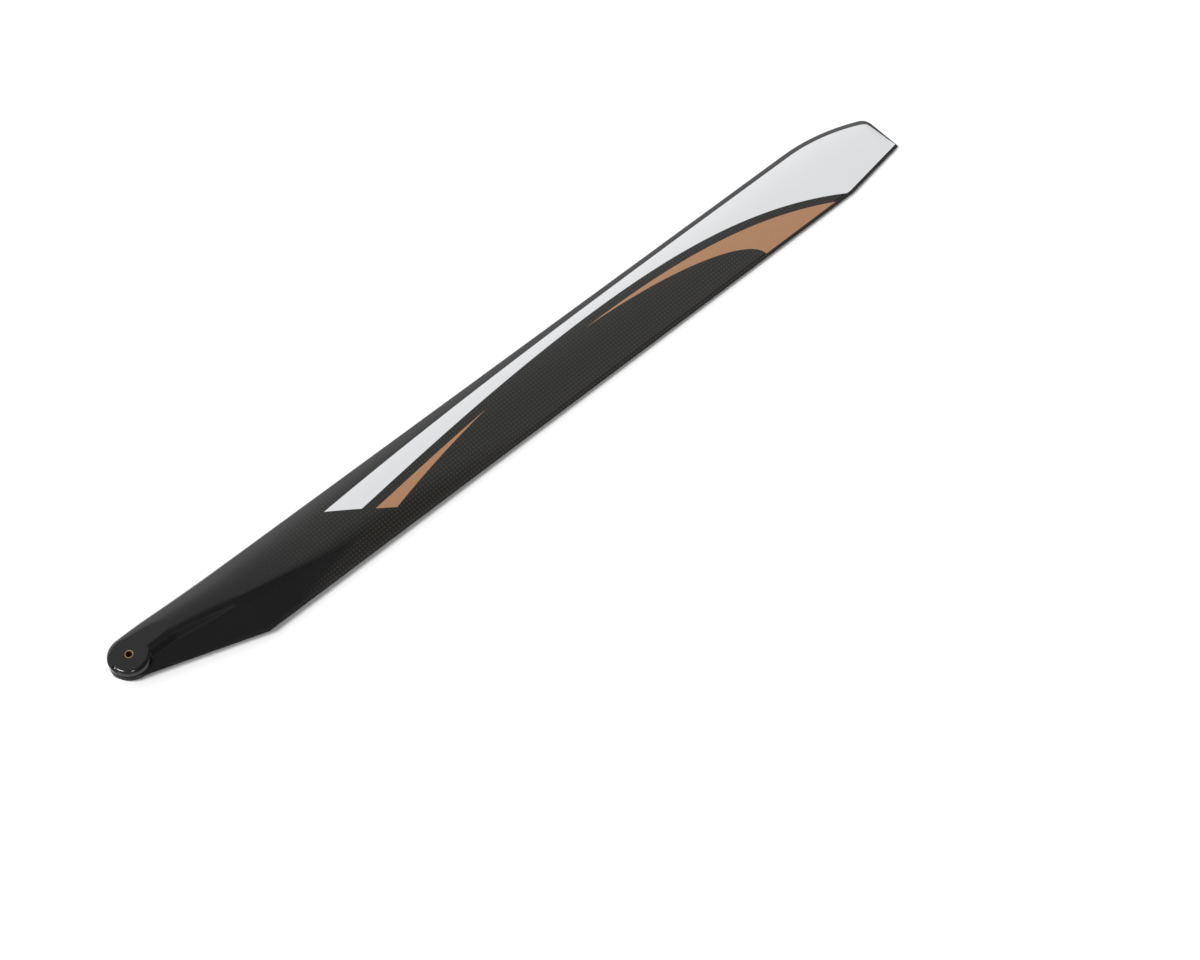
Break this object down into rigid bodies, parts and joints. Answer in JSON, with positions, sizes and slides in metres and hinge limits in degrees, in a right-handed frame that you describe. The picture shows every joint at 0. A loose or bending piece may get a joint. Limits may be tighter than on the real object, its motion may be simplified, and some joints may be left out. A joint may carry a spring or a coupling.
{
  "type": "helicopter rotor blade",
  "caption": "Moulded carbon main rotor blade of a model helicopter: slim symmetric wing section, swept tip, slanted inner edge and a thick round root with a brass-sleeved bolt hole.",
  "frame": {"origin": "on the axis of the bolt hole, halfway through the thickness of the root", "axes": "+X from the bolt hole to the tip, +Y towards the leading edge, +Z along the bolt hole, out of the face that the picture shows"},
  "size_m": [0.6132, 0.0526, 0.012],
  "materials": {
    "carbon": "woven carbon under a clear gloss coat, with white and bronze stripes painted on both faces",
    "brass": "turned brass"
  },
  "bodies": {
    "root": {"blade": "carbon", "root_bush": "brass"}
  },
  "joints": []
}
